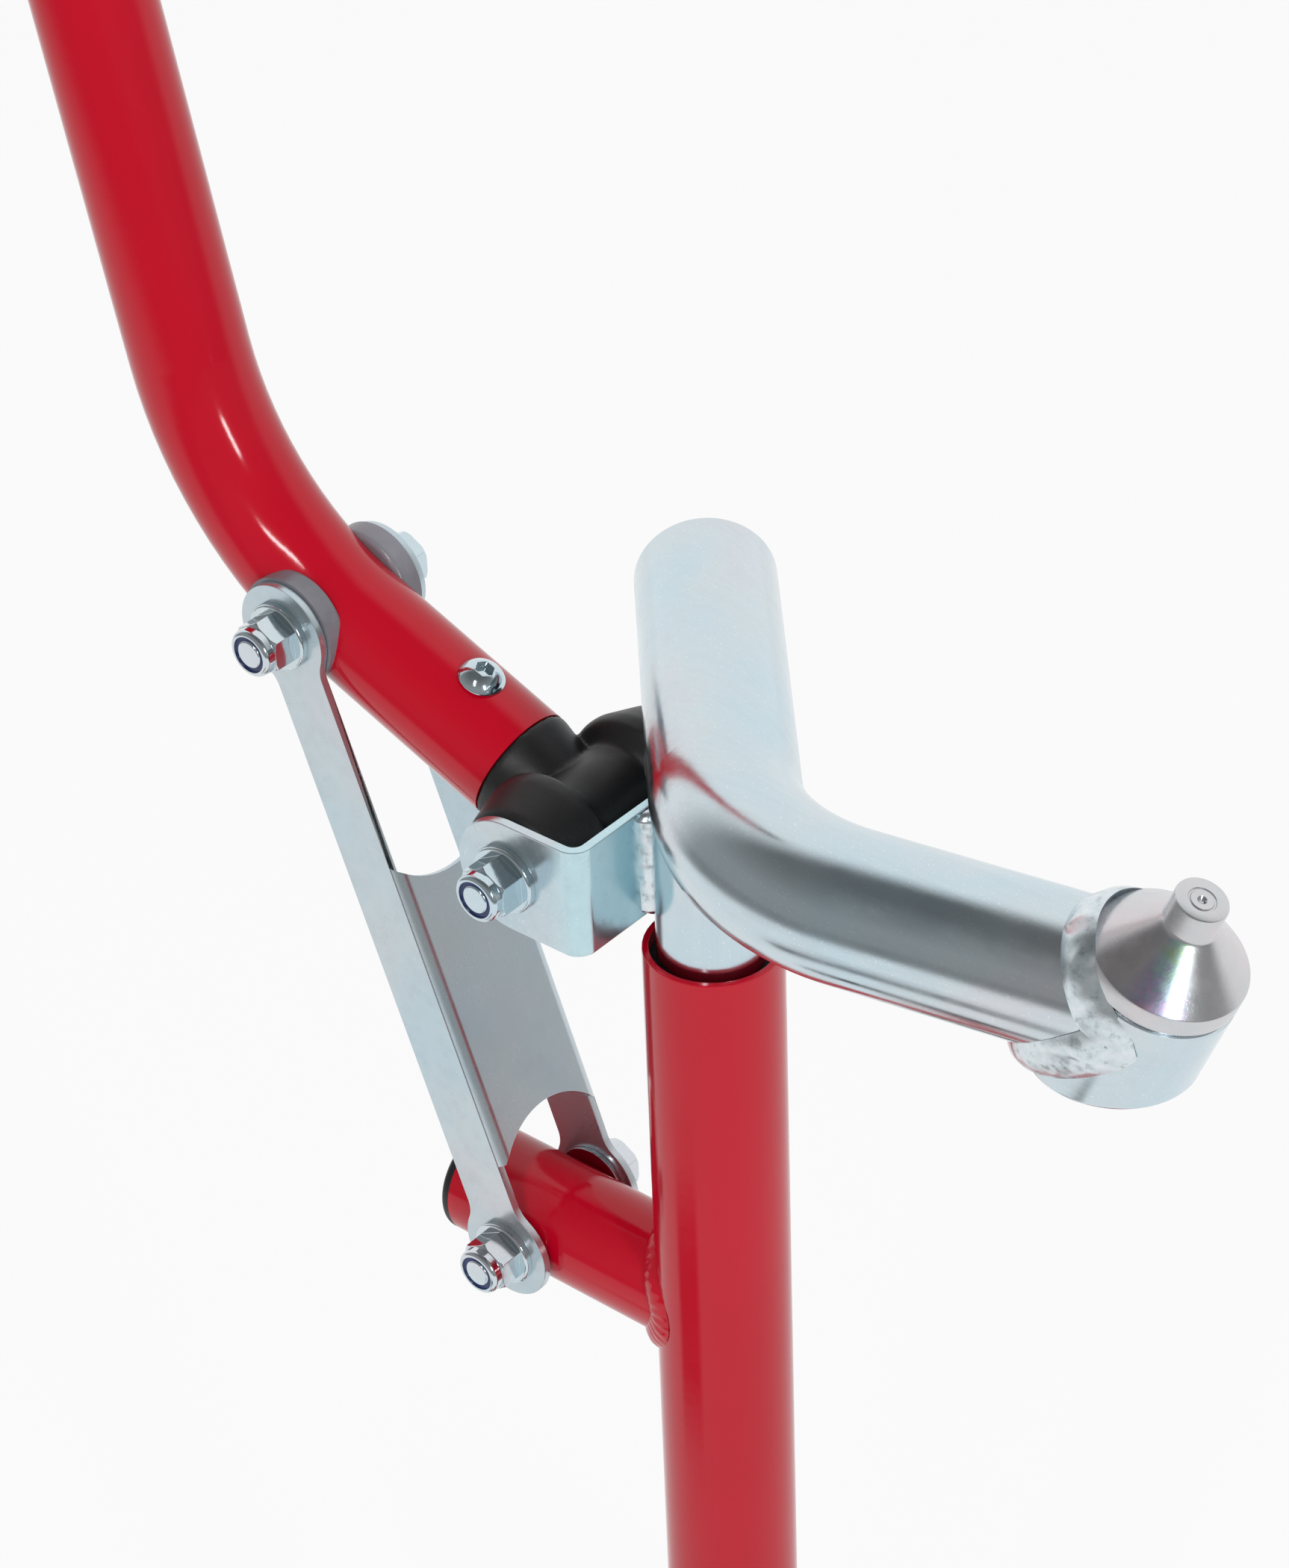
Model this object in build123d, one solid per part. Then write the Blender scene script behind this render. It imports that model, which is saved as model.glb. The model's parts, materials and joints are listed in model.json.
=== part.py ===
from build123d import *
from math import cos, radians, sin, sqrt
import os

# Lever-lift hand truck. Origin on the floor under the post, +X towards the load, +Z up, millimetres.

# Fits
RUN_GAP = 0.05
PART_GAP = 0.3
FIXED_GAP = 0.02

# Post and its stub
POST_HEIGHT = 700.0
POST_OD = 40.0
POST_WALL = 2.0
STUB_DROP = 132.0
STUB_OD = 35.0
STUB_WALL = 2.5
STUB_REACH = 94.0
STUB_PIVOT_X = -66.5
CAP_FLANGE = 3.5
CAP_PLUG = 14.0
CAP_ROUND = 2.1
WELD_LEG = 2.5

# Sliding head
SLEEVE_OD = 32.0
SLEEVE_WALL = 3.0
SLEEVE_DEPTH = 180.0
BUSH_LENGTH = 30.0
BUSH_RECESS = 4.0
STOP_LENGTH = 10.0
STOP_BORE = 22.0

# Yoke tube, level, with one bend beside the post
YOKE_OD = 41.0
YOKE_WALL = 3.0
YOKE_RISE = 66.0
YOKE_CORNER_X = 41.8
YOKE_CORNER_Y = -41.5
YOKE_FAR_LENGTH = 143.0
YOKE_FAR_TURN = 131.7
YOKE_ARM_TURN = 10.2
YOKE_BEND = 62.0
YOKE_DISC = 3.0

# Boss and lifting pin
BOSS_REACH = 115.0
BOSS_OD = 41.0
BOSS_TOP = 10.3
BOSS_DROP = 23.5
BOSS_TILT = 22.0
PIN_SPIGOT_D = 20.0
PIN_SPIGOT_LENGTH = 20.0
PIN_COLLAR = 6.5
PIN_CONE = 13.0
PIN_NOSE_D = 14.0
PIN_NOSE = 8.5
PIN_CHAMFER = 0.6
PIN_COLLAR_CHAMFER = 0.8

# Lever pivot bracket on the sleeve
PIVOT_X = -42.0
PIVOT_RISE = 25.5
BRACKET_SHEET = 3.0
BRACKET_WIDTH = 74.0
BRACKET_HEIGHT = 35.0
BRACKET_BEND = 6.0
BRACKET_BEAD_R = 3.2
BRACKET_BEAD_SINK = 1.6
BRACKET_BEAD_Y = 9.9
BRACKET_BEAD_SHORT = 2.0

# Lever
LEVER_OD = 35.0
LEVER_WALL = 2.5
LEVER_JOINT_X = -137.7
LEVER_JOINT_RISE = 60.1
LEVER_SLOPE = 22.4
LEVER_FRONT = 74.0
LEVER_CORNER = 41.5
LEVER_UPPER_SLOPE = 77.3
LEVER_UPPER = 500.0
LEVER_BEND = 98.0
HUB_D = 44.0
HUB_END_D = 36.0
HUB_MID_D = 32.0
HUB_MID_WIDTH = 24.0
HUB_CROWN_IN = 16.0
HUB_CROWN_OUT = 20.0
HUB_ROUND = 2.5
HUB_BUSH_OD = 14.0
PLUG_COLLAR = 2.0
PLUG_SPIGOT = 38.0
PLUG_NECK = 25.0
PLUG_SCREW_D = 8.0
PLUG_SCREW_BACK = 20.5
PLUG_SCREW_LENGTH = 14.0
PLUG_SCREW_HEAD_D = 14.0
PLUG_SCREW_HEAD = 4.4
PLUG_SCREW_SOCKET = 5.0
PLUG_SCREW_SOCKET_DEPTH = 2.6
JOINT_PLAY = 4.0
GRIP_OD = 42.0
GRIP_LENGTH = 130.0
GRIP_END = 5.0
GRIP_ROUND = 3.1
GRIP_GROOVES = 9
GRIP_GROOVE_R = 1.8
GRIP_GROOVE_DEPTH = 1.2
GRIP_GROOVE_INSET = 21.0

# Link channel
LINK_SHEET = 2.5
LINK_WIDTH = 44.0
LINK_BACK = 9.2
LINK_EDGE = 10.0
LINK_FRONT = 12.5
LINK_EAR_R = 15.5
LINK_EAR_BLEND = 9.0
LINK_BEND = 4.0
LINK_WEB_LOW = 30.0
LINK_WEB_HIGH = 132.0
LINK_ARCH_R = 25.0
LINK_ARCH_TOP = 40.0
LINK_NOTCH_R = 30.0
LINK_NOTCH_LOW = 120.5
SADDLE_D = 33.0
SADDLE_WRAP = 7.0
SADDLE_ROUND = 1.6
LINK_WASHER_D = 24.0

# Flanged bolts and locking nuts
BOLT_D = 10.0
BOLT_TIP_D = 8.6
BOLT_TIP_ROUND = 0.6
BOLT_FLANGE_D = 20.8
BOLT_FLANGE = 2.4
BOLT_FLANGE_ROUND = 0.9
BOLT_HEX = 15.0
BOLT_HEAD = 9.5
HEX_CHAMFER = 0.8
NUT_HEIGHT = 13.4
NUT_HEX_TOP = 9.9
NUT_COLLAR_D = 14.7
NUT_COLLAR_ROUND = 1.5
NUT_RING_D = 11.2
NUT_RING = 2.4
NUT_RING_SINK = 0.6

# Base, axle and wheels
TOE_SHEET = 6.0
TOE_FRONT = 210.0
TOE_BACK = 45.0
TOE_WIDTH = 250.0
TOE_CORNER = 30.0
AXLE_X = -110.0
AXLE_D = 20.0
AXLE_TUBE_OD = 32.0
AXLE_TUBE_LENGTH = 290.0
CHEEK_SHEET = 6.0
CHEEK_HEIGHT = 90.0
CHEEK_RIM = 9.0
CHEEK_FOOT = 40.0
CHEEK_END_R = 10.0
BRACE_OD = 25.0
BRACE_WALL = 2.0
BRACE_HEIGHT = 360.0
WHEEL_D = 200.0
TYRE_WIDTH = 44.0
TYRE_DEPTH = 34.0
TYRE_ROUND = 14.0
RIM_WIDTH = 38.0
RIM_BARREL = 5.0
RIM_DISC = 7.0
RIM_HOLES = 6
RIM_HOLE_D = 24.0
WHEEL_HUB_D = 46.0
WHEEL_HUB_LENGTH = 56.0
WHEEL_BUSH_WALL = 3.0
WHEEL_BUSH_LIP = 2.0
WHEEL_BUSH_LENGTH = 18.0
AXLE_WASHER_D = 36.0
AXLE_WASHER = 3.0
RETAINER_D = 34.0
RETAINER = 9.0
RETAINER_END = 2.5
RETAINER_ROUND = 4.5

BASE = (Align.CENTER, Align.CENTER, Align.MIN)
UP = Vector(0, 0, 1)
SIDE = Vector(0, 1, 0)

# Places worked out from the sizes above
POST_ID = POST_OD - 2 * POST_WALL
STUB_Z = POST_HEIGHT - STUB_DROP
YOKE_Z = POST_HEIGHT + YOKE_RISE
BRACKET_HALF = BRACKET_WIDTH / 2
JOINT_HOLE_D = BOLT_D + 2 * JOINT_PLAY
LINK_HALF = LINK_WIDTH / 2
PIVOT = Vector(PIVOT_X, 0, POST_HEIGHT + PIVOT_RISE)
UPPER_JOINT = Vector(LEVER_JOINT_X, 0, POST_HEIGHT + LEVER_JOINT_RISE)
LOWER_JOINT = Vector(STUB_PIVOT_X, 0, STUB_Z)
LEVER_DIR = Vector(-cos(radians(LEVER_SLOPE)), 0, sin(radians(LEVER_SLOPE)))
LEVER_TOP_SIDE = Vector(sin(radians(LEVER_SLOPE)), 0, cos(radians(LEVER_SLOPE)))
LEVER_UP_DIR = Vector(-cos(radians(LEVER_UPPER_SLOPE)), 0, sin(radians(LEVER_UPPER_SLOPE)))
LEVER_START = UPPER_JOINT - LEVER_DIR * LEVER_FRONT
LEVER_CORNER_AT = UPPER_JOINT + LEVER_DIR * LEVER_CORNER
LEVER_END = LEVER_CORNER_AT + LEVER_UP_DIR * LEVER_UPPER
ARM_DIR = Vector(cos(radians(YOKE_ARM_TURN)), sin(radians(YOKE_ARM_TURN)), 0)
FAR_DIR = Vector(cos(radians(YOKE_FAR_TURN)), sin(radians(YOKE_FAR_TURN)), 0)
YOKE_CORNER = Vector(YOKE_CORNER_X, YOKE_CORNER_Y, YOKE_Z)
BOSS_AT = YOKE_CORNER + ARM_DIR * BOSS_REACH
BOSS_DIR = Vector(sin(radians(BOSS_TILT)), 0, cos(radians(BOSS_TILT)))
LINK_DIR = (UPPER_JOINT - LOWER_JOINT).normalized()
LINK_LENGTH = (UPPER_JOINT - LOWER_JOINT).length
LINK_PLANE = Plane(origin=LOWER_JOINT, x_dir=SIDE.cross(LINK_DIR), z_dir=LINK_DIR)
AXLE_Z = WHEEL_D / 2
AXLE_END = AXLE_TUBE_LENGTH / 2
WHEEL_IN = AXLE_END + AXLE_WASHER + 2 * PART_GAP
WHEEL_Y = WHEEL_IN + WHEEL_HUB_LENGTH / 2
WHEEL_OUT = WHEEL_IN + WHEEL_HUB_LENGTH
RETAINER_Y = WHEEL_OUT + PART_GAP

os.makedirs("parts", exist_ok=True)


def rod(start, direction, radius, length):
    return Plane(origin=start, z_dir=direction) * Cylinder(radius, length, align=BASE)


def pipe(start, direction, outer, inner, length):
    return rod(start, direction, outer, length) - rod(start, direction, inner, length)


def cross_rod(at, radius, half):
    """A rod along Y, centred on the mid-plane."""
    return rod(at - SIDE * half, SIDE, radius, 2 * half)


def bent_rod(points, bend, radius):
    """A round rod along straight runs joined by one round bend."""
    path = FilletPolyline(*points, radius=bend)
    start = Plane(origin=points[0], z_dir=points[1] - points[0])
    return sweep(start * Circle(radius), path=path)


def bent_tube(points, bend, outer, wall):
    return bent_rod(points, bend, outer / 2) - bent_rod(points, bend, outer / 2 - wall)


def corner_bead(first, second, leg):
    """Fillet weld between two round tubes, each given as start, direction, radius and length."""
    start_a, dir_a, radius_a, length_a = first
    start_b, dir_b, radius_b, length_b = second
    swollen = rod(start_a, dir_a, radius_a + leg, length_a) & rod(start_b, dir_b, radius_b + leg, length_b)
    return swollen - rod(start_a, dir_a, radius_a, length_a) - rod(start_b, dir_b, radius_b, length_b)


def flanged_hexagon(height):
    """Hexagon on a round flange, with its top corners turned off."""
    flange = Cylinder(BOLT_FLANGE_D / 2, BOLT_FLANGE, align=BASE)
    flange = fillet(flange.edges().sort_by(Axis.Z)[-1], BOLT_FLANGE_ROUND)
    turned = Cylinder(BOLT_HEX / sqrt(3), height, align=BASE)
    turned = chamfer(turned.edges().sort_by(Axis.Z)[-1], HEX_CHAMFER)
    return flange + (extrude(RegularPolygon(BOLT_HEX / sqrt(3), 6), height) & turned)


def flange_bolt(at, outward, grip):
    """Head on the outer face at `at`; the shank runs back through the grip and ends in the nut's ring."""
    shank_length = grip + NUT_HEIGHT - NUT_RING - NUT_RING_SINK
    tip_length = NUT_RING + NUT_RING_SINK
    shank = Pos(0, 0, -shank_length) * Cylinder(BOLT_D / 2, shank_length, align=BASE)
    tip = Pos(0, 0, -shank_length - tip_length) * Cylinder(BOLT_TIP_D / 2, tip_length, align=BASE)
    tip = fillet(tip.edges().sort_by(Axis.Z)[0], BOLT_TIP_ROUND)
    return Plane(origin=at, z_dir=outward) * (flanged_hexagon(BOLT_HEAD) + shank + tip)


def nut_shell(at, outward):
    """Flanged nut with a rounded collar that holds the locking ring."""
    collar_height = NUT_HEIGHT - NUT_HEX_TOP
    collar = Pos(0, 0, NUT_HEX_TOP) * Cylinder(NUT_COLLAR_D / 2, collar_height, align=BASE)
    collar = fillet(collar.edges().sort_by(Axis.Z)[-1], NUT_COLLAR_ROUND)
    body = flanged_hexagon(NUT_HEX_TOP) + collar
    body -= Cylinder(BOLT_D / 2 + FIXED_GAP, NUT_HEIGHT, align=BASE)
    seat = NUT_RING + NUT_RING_SINK
    body -= Pos(0, 0, NUT_HEIGHT - seat) * Cylinder(NUT_RING_D / 2, seat, align=BASE)
    return Plane(origin=at, z_dir=outward) * body


def nut_ring(at, outward):
    low = NUT_HEIGHT - NUT_RING - NUT_RING_SINK
    ring = Cylinder(NUT_RING_D / 2, NUT_RING, align=BASE)
    ring -= Cylinder(BOLT_TIP_D / 2 + FIXED_GAP, NUT_RING, align=BASE)
    return Plane(origin=at, z_dir=outward) * (Pos(0, 0, low) * ring)


def save(name, *solids):
    shape = solids[0] if len(solids) == 1 else Compound(children=list(solids))
    export_step(shape, os.path.join("parts", name + ".step"))


# Post, stub and the pieces inside the post
post = pipe(Vector(0, 0, TOE_SHEET), UP, POST_OD / 2, POST_ID / 2, POST_HEIGHT - TOE_SHEET)
save("post_tube", post)

stub_back = Vector(-STUB_REACH, 0, STUB_Z)
stub = pipe(stub_back, Vector(1, 0, 0), STUB_OD / 2, STUB_OD / 2 - STUB_WALL, STUB_REACH)
stub -= rod(Vector(0, 0, 0), UP, POST_OD / 2, POST_HEIGHT)
stub -= cross_rod(LOWER_JOINT, BOLT_D / 2 + RUN_GAP, STUB_OD)
save("stub_tube", stub)

stub_cylinder = (stub_back, Vector(1, 0, 0), STUB_OD / 2, STUB_REACH)
post_cylinder = (Vector(0, 0, 0), UP, POST_OD / 2, POST_HEIGHT)
save("stub_weld", corner_bead(stub_cylinder, post_cylinder, WELD_LEG))

cap_flange = rod(stub_back - Vector(CAP_FLANGE, 0, 0), Vector(1, 0, 0), STUB_OD / 2, CAP_FLANGE)
cap_flange = fillet(cap_flange.edges().sort_by(Axis.X)[0], CAP_ROUND)
cap_plug = rod(stub_back, Vector(1, 0, 0), STUB_OD / 2 - STUB_WALL - FIXED_GAP, CAP_PLUG)
save("stub_end_cap", cap_flange + cap_plug)

bush_z = POST_HEIGHT - BUSH_RECESS - BUSH_LENGTH
upper_bush = pipe(Vector(0, 0, bush_z), UP, POST_ID / 2, SLEEVE_OD / 2 + RUN_GAP, BUSH_LENGTH)
save("upper_guide_bush", upper_bush)

sleeve_z = POST_HEIGHT - SLEEVE_DEPTH
stop_z = sleeve_z - PART_GAP - STOP_LENGTH
save("lift_stop_ring", pipe(Vector(0, 0, stop_z), UP, POST_ID / 2, STOP_BORE / 2, STOP_LENGTH))

# Sliding head: sleeve, yoke, boss and pin
yoke_far_end = YOKE_CORNER + FAR_DIR * YOKE_FAR_LENGTH
yoke = bent_tube([yoke_far_end, YOKE_CORNER, BOSS_AT], YOKE_BEND, YOKE_OD, YOKE_WALL)
boss_low = BOSS_AT - BOSS_DIR * BOSS_OD
boss_cylinder = (boss_low, BOSS_DIR, BOSS_OD / 2, BOSS_OD + BOSS_TOP)
yoke -= rod(boss_low, BOSS_DIR, BOSS_OD / 2, 3 * BOSS_OD)
save("yoke_tube", yoke)

disc_at = yoke_far_end - FAR_DIR * YOKE_DISC
save("yoke_end_disc", rod(disc_at, FAR_DIR, YOKE_OD / 2 - YOKE_WALL, YOKE_DISC))

far_leg = (YOKE_CORNER, FAR_DIR, YOKE_OD / 2, YOKE_FAR_LENGTH)
sleeve_foot = Vector(0, 0, sleeve_z)
sleeve_length = SLEEVE_DEPTH + YOKE_RISE
sleeve_cylinder = (sleeve_foot, UP, SLEEVE_OD / 2, sleeve_length)
sleeve = pipe(sleeve_foot, UP, SLEEVE_OD / 2, SLEEVE_OD / 2 - SLEEVE_WALL, sleeve_length)
sleeve -= rod(*far_leg)
save("sleeve_tube", sleeve)
save("yoke_weld", corner_bead(sleeve_cylinder, far_leg, WELD_LEG))

lower_bush = pipe(sleeve_foot, UP, POST_ID / 2 - RUN_GAP, SLEEVE_OD / 2, BUSH_LENGTH)
save("lower_guide_bush", lower_bush)

boss = split(rod(*boss_cylinder), Plane.XY.offset(YOKE_Z - BOSS_DROP), keep=Keep.TOP)
boss_top = BOSS_AT + BOSS_DIR * BOSS_TOP
spigot_foot = boss_top - BOSS_DIR * PIN_SPIGOT_LENGTH
boss -= rod(spigot_foot, BOSS_DIR, PIN_SPIGOT_D / 2 + FIXED_GAP, PIN_SPIGOT_LENGTH)
save("pin_boss", boss)
arm_length = BOSS_REACH - YOKE_BEND - BOSS_OD / 4
arm_cylinder = (YOKE_CORNER + ARM_DIR * YOKE_BEND, ARM_DIR, YOKE_OD / 2, arm_length)
save("boss_weld", corner_bead(arm_cylinder, boss_cylinder, WELD_LEG))

pin_profile = Polyline(
    (0, -PIN_SPIGOT_LENGTH + PART_GAP),
    (PIN_SPIGOT_D / 2, -PIN_SPIGOT_LENGTH + PART_GAP),
    (PIN_SPIGOT_D / 2, 0),
    (BOSS_OD / 2 - PIN_COLLAR_CHAMFER, 0),
    (BOSS_OD / 2, PIN_COLLAR_CHAMFER),
    (BOSS_OD / 2, PIN_COLLAR),
    (PIN_NOSE_D / 2, PIN_COLLAR + PIN_CONE),
    (PIN_NOSE_D / 2, PIN_COLLAR + PIN_CONE + PIN_NOSE - PIN_CHAMFER),
    (PIN_NOSE_D / 2 - PIN_CHAMFER, PIN_COLLAR + PIN_CONE + PIN_NOSE),
    (0, PIN_COLLAR + PIN_CONE + PIN_NOSE),
    close=True,
)
pin = revolve(Plane.XZ * make_face(pin_profile), Axis.Z)
save("lift_pin", Plane(origin=boss_top, z_dir=BOSS_DIR) * pin)

# Pivot bracket: a channel whose web lies on the back of the sleeve and whose ears carry the lever
web_x = -SLEEVE_OD / 2
bracket_low = PIVOT.Z - BRACKET_HEIGHT / 2
bracket_depth = web_x - PIVOT_X
outer_block = Pos(web_x, 0, bracket_low) * Box(
    bracket_depth, BRACKET_WIDTH, BRACKET_HEIGHT, align=(Align.MAX, Align.CENTER, Align.MIN)
)
outer_block = fillet(outer_block.edges().filter_by(Axis.Z).group_by(Axis.X)[-1], BRACKET_BEND)
ear_round = cross_rod(PIVOT, BRACKET_HEIGHT / 2, BRACKET_HALF)
inner_block = Pos(web_x - BRACKET_SHEET, 0, bracket_low) * Box(
    bracket_depth + BRACKET_HEIGHT,
    BRACKET_WIDTH - 2 * BRACKET_SHEET,
    BRACKET_HEIGHT,
    align=(Align.MAX, Align.CENTER, Align.MIN),
)
inner_edges = inner_block.edges().filter_by(Axis.Z).group_by(Axis.X)[-1]
inner_block = fillet(inner_edges, BRACKET_BEND - BRACKET_SHEET)
bracket = outer_block + ear_round - inner_block - cross_rod(PIVOT, BOLT_D / 2 + FIXED_GAP, BRACKET_WIDTH)
save("pivot_bracket", bracket)

beads = []
for side in (-1, 1):
    bead_at = Vector(web_x + BRACKET_BEAD_SINK, side * BRACKET_BEAD_Y, bracket_low + BRACKET_BEAD_SHORT)
    bead = rod(bead_at, UP, BRACKET_BEAD_R, BRACKET_HEIGHT - 2 * BRACKET_BEAD_SHORT)
    bead -= rod(*sleeve_cylinder)
    bead -= outer_block
    beads.append(bead - rod(*far_leg))
save("bracket_welds", *beads)

bolt_face = PIVOT + SIDE * BRACKET_HALF
nut_face = PIVOT - SIDE * BRACKET_HALF
save("pivot_bolt", flange_bolt(bolt_face, SIDE, BRACKET_WIDTH))
save("pivot_nut", nut_shell(nut_face, -SIDE))
save("pivot_nut_ring", nut_ring(nut_face, -SIDE))

# Lever with its moulded pivot plug
lever_points = [LEVER_START, LEVER_CORNER_AT, LEVER_END]
lever = bent_tube(lever_points, LEVER_BEND, LEVER_OD, LEVER_WALL)
lever -= cross_rod(UPPER_JOINT, JOINT_HOLE_D / 2, LEVER_OD)
screw_at = LEVER_START + LEVER_DIR * PLUG_SCREW_BACK
lever -= rod(screw_at, LEVER_TOP_SIDE, PLUG_SCREW_D / 2 + FIXED_GAP, LEVER_OD)
save("lever_tube", lever)

hub_half = BRACKET_HALF - BRACKET_SHEET - PART_GAP
hub_side = [
    (HUB_MID_D / 2, HUB_MID_WIDTH / 2),
    (HUB_D / 2, HUB_CROWN_IN),
    (HUB_D / 2, HUB_CROWN_OUT),
    (HUB_END_D / 2, hub_half),
]
hub_rim = [(radius, -along) for radius, along in reversed(hub_side)] + hub_side
hub_face = make_face(Polyline((0, -hub_half), *hub_rim, (0, hub_half), close=True))
hub_face = fillet(hub_face.vertices().filter_by(lambda corner: corner.X > HUB_MID_D / 4), HUB_ROUND)
hub = Plane(origin=PIVOT, z_dir=SIDE) * revolve(Plane.XZ * hub_face, Axis.Z)
collar = rod(LEVER_START - LEVER_DIR * PLUG_COLLAR, LEVER_DIR, LEVER_OD / 2, PLUG_COLLAR)
spigot = rod(LEVER_START, LEVER_DIR, LEVER_OD / 2 - LEVER_WALL - FIXED_GAP, PLUG_SPIGOT)
neck_length = (LEVER_START - PIVOT).length - PLUG_COLLAR
neck = Plane(origin=LEVER_START - LEVER_DIR * PLUG_COLLAR, z_dir=-LEVER_DIR) * Cone(
    LEVER_OD / 2, PLUG_NECK / 2, neck_length, align=BASE
)
plug = hub + collar + spigot + neck
plug -= cross_rod(PIVOT, HUB_BUSH_OD / 2, BRACKET_HALF)
screw_root = screw_at + LEVER_TOP_SIDE * (LEVER_OD / 2 - PLUG_SCREW_LENGTH)
plug -= rod(screw_root, LEVER_TOP_SIDE, PLUG_SCREW_D / 2 + FIXED_GAP, LEVER_OD)
save("pivot_plug", plug)
pivot_sleeve = cross_rod(PIVOT, HUB_BUSH_OD / 2, hub_half)
save("pivot_sleeve", pivot_sleeve - cross_rod(PIVOT, BOLT_D / 2 + RUN_GAP, hub_half))

screw_seat = Plane(origin=screw_root + LEVER_TOP_SIDE * PLUG_SCREW_LENGTH, z_dir=LEVER_TOP_SIDE)
dome_radius = ((PLUG_SCREW_HEAD_D / 2) ** 2 + PLUG_SCREW_HEAD ** 2) / (2 * PLUG_SCREW_HEAD)
dome = Pos(0, 0, PLUG_SCREW_HEAD - dome_radius) * Sphere(dome_radius)
dome &= Cylinder(PLUG_SCREW_HEAD_D / 2, PLUG_SCREW_HEAD, align=BASE)
socket = extrude(RegularPolygon(PLUG_SCREW_SOCKET / sqrt(3), 6), PLUG_SCREW_HEAD)
dome -= Pos(0, 0, PLUG_SCREW_HEAD - PLUG_SCREW_SOCKET_DEPTH) * socket
screw_shank = Pos(0, 0, -PLUG_SCREW_LENGTH) * Cylinder(PLUG_SCREW_D / 2, PLUG_SCREW_LENGTH, align=BASE)
save("plug_screw", screw_seat * (dome + screw_shank))

saddles = []
saddle_out = LINK_HALF - LINK_SHEET - PART_GAP
for side in (-1, 1):
    outer_face = UPPER_JOINT + SIDE * side * saddle_out
    saddle = rod(outer_face, SIDE * -side, SADDLE_D / 2, SADDLE_WRAP)
    saddle = fillet(saddle.edges().filter_by(GeomType.CIRCLE).group_by(SortBy.DISTANCE)[0], SADDLE_ROUND)
    saddle -= bent_rod(lever_points, LEVER_BEND, LEVER_OD / 2)
    saddles.append(saddle - cross_rod(UPPER_JOINT, JOINT_HOLE_D / 2, LINK_WIDTH))
save("lever_spacers", *saddles)

grip_start = LEVER_END - LEVER_UP_DIR * (GRIP_LENGTH - GRIP_END)
grip = rod(grip_start, LEVER_UP_DIR, GRIP_OD / 2, GRIP_LENGTH)
grip = fillet(grip.edges().filter_by(GeomType.CIRCLE), GRIP_ROUND)
grip -= rod(grip_start, LEVER_UP_DIR, LEVER_OD / 2, GRIP_LENGTH - GRIP_END)
groove_step = (GRIP_LENGTH - 2 * GRIP_GROOVE_INSET) / (GRIP_GROOVES - 1)
groove = Torus(GRIP_OD / 2 + GRIP_GROOVE_R - GRIP_GROOVE_DEPTH, GRIP_GROOVE_R)
for index in range(GRIP_GROOVES):
    groove_at = grip_start + LEVER_UP_DIR * (GRIP_GROOVE_INSET + index * groove_step)
    grip -= Plane(origin=groove_at, z_dir=LEVER_UP_DIR) * groove
save("lever_grip", grip)

# Link channel, drawn upright about its lower pivot: X to the web, Z to the upper pivot
ear_middle = Pos((LINK_EDGE - LINK_BACK) / 2, LINK_LENGTH / 2)
ear_outline = ear_middle * Rectangle(LINK_EDGE + LINK_BACK, LINK_LENGTH)
ear_outline += Circle(LINK_EAR_R)
ear_outline += Pos(0, LINK_LENGTH) * Circle(LINK_EAR_R)
ear_outline = fillet(ear_outline.vertices(), LINK_EAR_BLEND)
channel = Pos(0, 0, LINK_WEB_LOW) * Box(
    LINK_FRONT, LINK_WIDTH, LINK_WEB_HIGH - LINK_WEB_LOW, align=(Align.MIN, Align.CENTER, Align.MIN)
)
channel = fillet(channel.edges().filter_by(Axis.Z).group_by(Axis.X)[-1], LINK_BEND)
hollow = Pos(0, 0, LINK_WEB_LOW) * Box(
    LINK_FRONT - LINK_SHEET,
    LINK_WIDTH - 2 * LINK_SHEET,
    LINK_WEB_HIGH - LINK_WEB_LOW,
    align=(Align.MIN, Align.CENTER, Align.MIN),
)
hollow = fillet(hollow.edges().filter_by(Axis.Z).group_by(Axis.X)[-1], LINK_BEND - LINK_SHEET)
channel -= hollow
arch_at = Vector(LINK_EDGE - LINK_SHEET, 0, LINK_ARCH_TOP - LINK_ARCH_R)
notch_at = Vector(LINK_EDGE - LINK_SHEET, 0, LINK_NOTCH_LOW + LINK_NOTCH_R)
channel -= rod(arch_at, Vector(1, 0, 0), LINK_ARCH_R, LINK_FRONT)
channel -= rod(notch_at, Vector(1, 0, 0), LINK_NOTCH_R, LINK_FRONT)
for side in (-1, 1):
    ear_plane = Plane(origin=(0, side * LINK_HALF, 0), x_dir=(1, 0, 0), z_dir=(0, -1, 0))
    channel += extrude(ear_plane * ear_outline, side * LINK_SHEET)
for height in (0, LINK_LENGTH):
    channel -= cross_rod(Vector(0, 0, height), BOLT_D / 2 + FIXED_GAP, LINK_WIDTH)
save("link_channel", LINK_PLANE * channel)

link_joints = (LOWER_JOINT, UPPER_JOINT)
save("link_bolts", *[flange_bolt(joint + SIDE * LINK_HALF, SIDE, LINK_WIDTH) for joint in link_joints])
save("link_nuts", *[nut_shell(joint - SIDE * LINK_HALF, -SIDE) for joint in link_joints])
save("link_nut_rings", *[nut_ring(joint - SIDE * LINK_HALF, -SIDE) for joint in link_joints])

washers = []
washer_out = LINK_HALF - LINK_SHEET
for side in (-1, 1):
    washer_at = LOWER_JOINT + SIDE * side * (STUB_OD / 2 + PART_GAP)
    washers.append(
        pipe(
            washer_at,
            SIDE * side,
            LINK_WASHER_D / 2,
            BOLT_D / 2 + FIXED_GAP,
            washer_out - STUB_OD / 2 - PART_GAP,
        )
    )
save("link_washers", *washers)

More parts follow.
